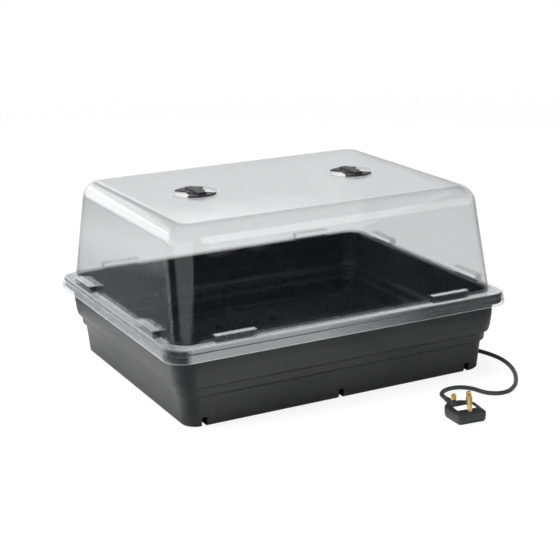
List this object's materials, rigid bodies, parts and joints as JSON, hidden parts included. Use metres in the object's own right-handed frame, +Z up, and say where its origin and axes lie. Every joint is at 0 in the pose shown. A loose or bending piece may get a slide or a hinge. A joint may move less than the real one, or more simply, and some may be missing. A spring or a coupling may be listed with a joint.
{
  "type": "heated humidity dome tray",
  "caption": "Stepped black seed tray with a clear vented humidity dome that lifts off, turning vent shutters, a heated base and a mains lead that ends in a plug.",
  "frame": {"origin": "on the surface the tray stands on, under the middle of the tray", "axes": "+X along the long side towards the side the lead leaves, +Y along the short side towards the back, +Z up"},
  "size_m": [0.6156, 0.5726, 0.2689],
  "materials": {
    "black_polypropylene": "fine satin grain, moulded",
    "black_cover_plastic": "matt, moulded",
    "clear_dome_plastic": "clear thermoformed sheet, glossy with slight waviness",
    "black_vent_plastic": "semi-gloss moulded",
    "black_cord_pvc": "satin flexible PVC",
    "black_plug_plastic": "satin moulded",
    "black_rubber": "matt",
    "pin_brass": "bright machined",
    "screw_steel": "zinc plated",
    "spreader_aluminium": "rolled sheet",
    "heating_wire_silicone": "satin silicone",
    "heater_mat_fabric": "woven glass fibre",
    "insulation_foam": "closed-cell foam",
    "white_nylon": "satin",
    "grey_nylon": "satin",
    "tie_nylon": "satin",
    "fuse_ceramic": "glazed ceramic with plated caps"
  },
  "bodies": {
    "base": {"tray": "black_polypropylene", "base_cover": "black_cover_plastic", "base_screw_1": "screw_steel", "base_screw_2": "screw_steel", "base_screw_3": "screw_steel", "base_screw_4": "screw_steel", "base_screw_5": "screw_steel", "base_screw_6": "screw_steel", "rubber_foot_1": "black_rubber", "rubber_foot_2": "black_rubber", "rubber_foot_3": "black_rubber", "rubber_foot_4": "black_rubber", "heat_spreader": "spreader_aluminium", "heater_mat": "heater_mat_fabric", "heating_wire": "heating_wire_silicone", "insulation_pad": "insulation_foam", "thermal_cutout": "screw_steel", "element_lead_1": "grey_nylon", "element_lead_2": "grey_nylon", "terminal_block": "white_nylon", "terminal_screw_1": "pin_brass", "terminal_screw_2": "pin_brass", "terminal_screw_3": "pin_brass", "cord_clamp": "grey_nylon", "clamp_screw_1": "screw_steel", "clamp_screw_2": "screw_steel", "inner_lead": "black_cord_pvc", "cable_gland": "black_cord_pvc", "cord_lead_in": "black_cord_pvc", "cord_coil": "black_cord_pvc", "cord_lead_out": "black_cord_pvc", "coil_tie": "tie_nylon", "plug_cover": "black_plug_plastic", "plug_base": "black_plug_plastic", "plug_screw": "screw_steel", "plug_label": "white_nylon", "plug_fuse": "fuse_ceramic", "plug_cord_grip": "screw_steel", "plug_strain_relief": "black_plug_plastic", "earth_pin": "pin_brass", "line_pin": "pin_brass", "neutral_pin": "pin_brass", "line_sleeve": "black_plug_plastic", "neutral_sleeve": "black_plug_plastic"},
    "dome": {"dome": "clear_dome_plastic"},
    "vent_left": {"vent_shutter_left": "black_vent_plastic", "vent_washer_left": "black_vent_plastic"},
    "vent_right": {"vent_shutter_right": "black_vent_plastic", "vent_washer_right": "black_vent_plastic"}
  },
  "joints": [
    {"name": "dome_lift", "type": "slide", "parent": "base", "child": "dome", "axis": [0, 0, 1], "range_m": [0, 0.2]},
    {"name": "vent_left_turn", "type": "hinge", "parent": "dome", "child": "vent_left", "pos_m": [-0.124, 0, 0.2636], "axis": [0, 0, 1], "range_deg": [0, 90]},
    {"name": "vent_right_turn", "type": "hinge", "parent": "dome", "child": "vent_right", "pos_m": [0.124, 0, 0.2636], "axis": [0, 0, 1], "range_deg": [0, 90]}
  ]
}
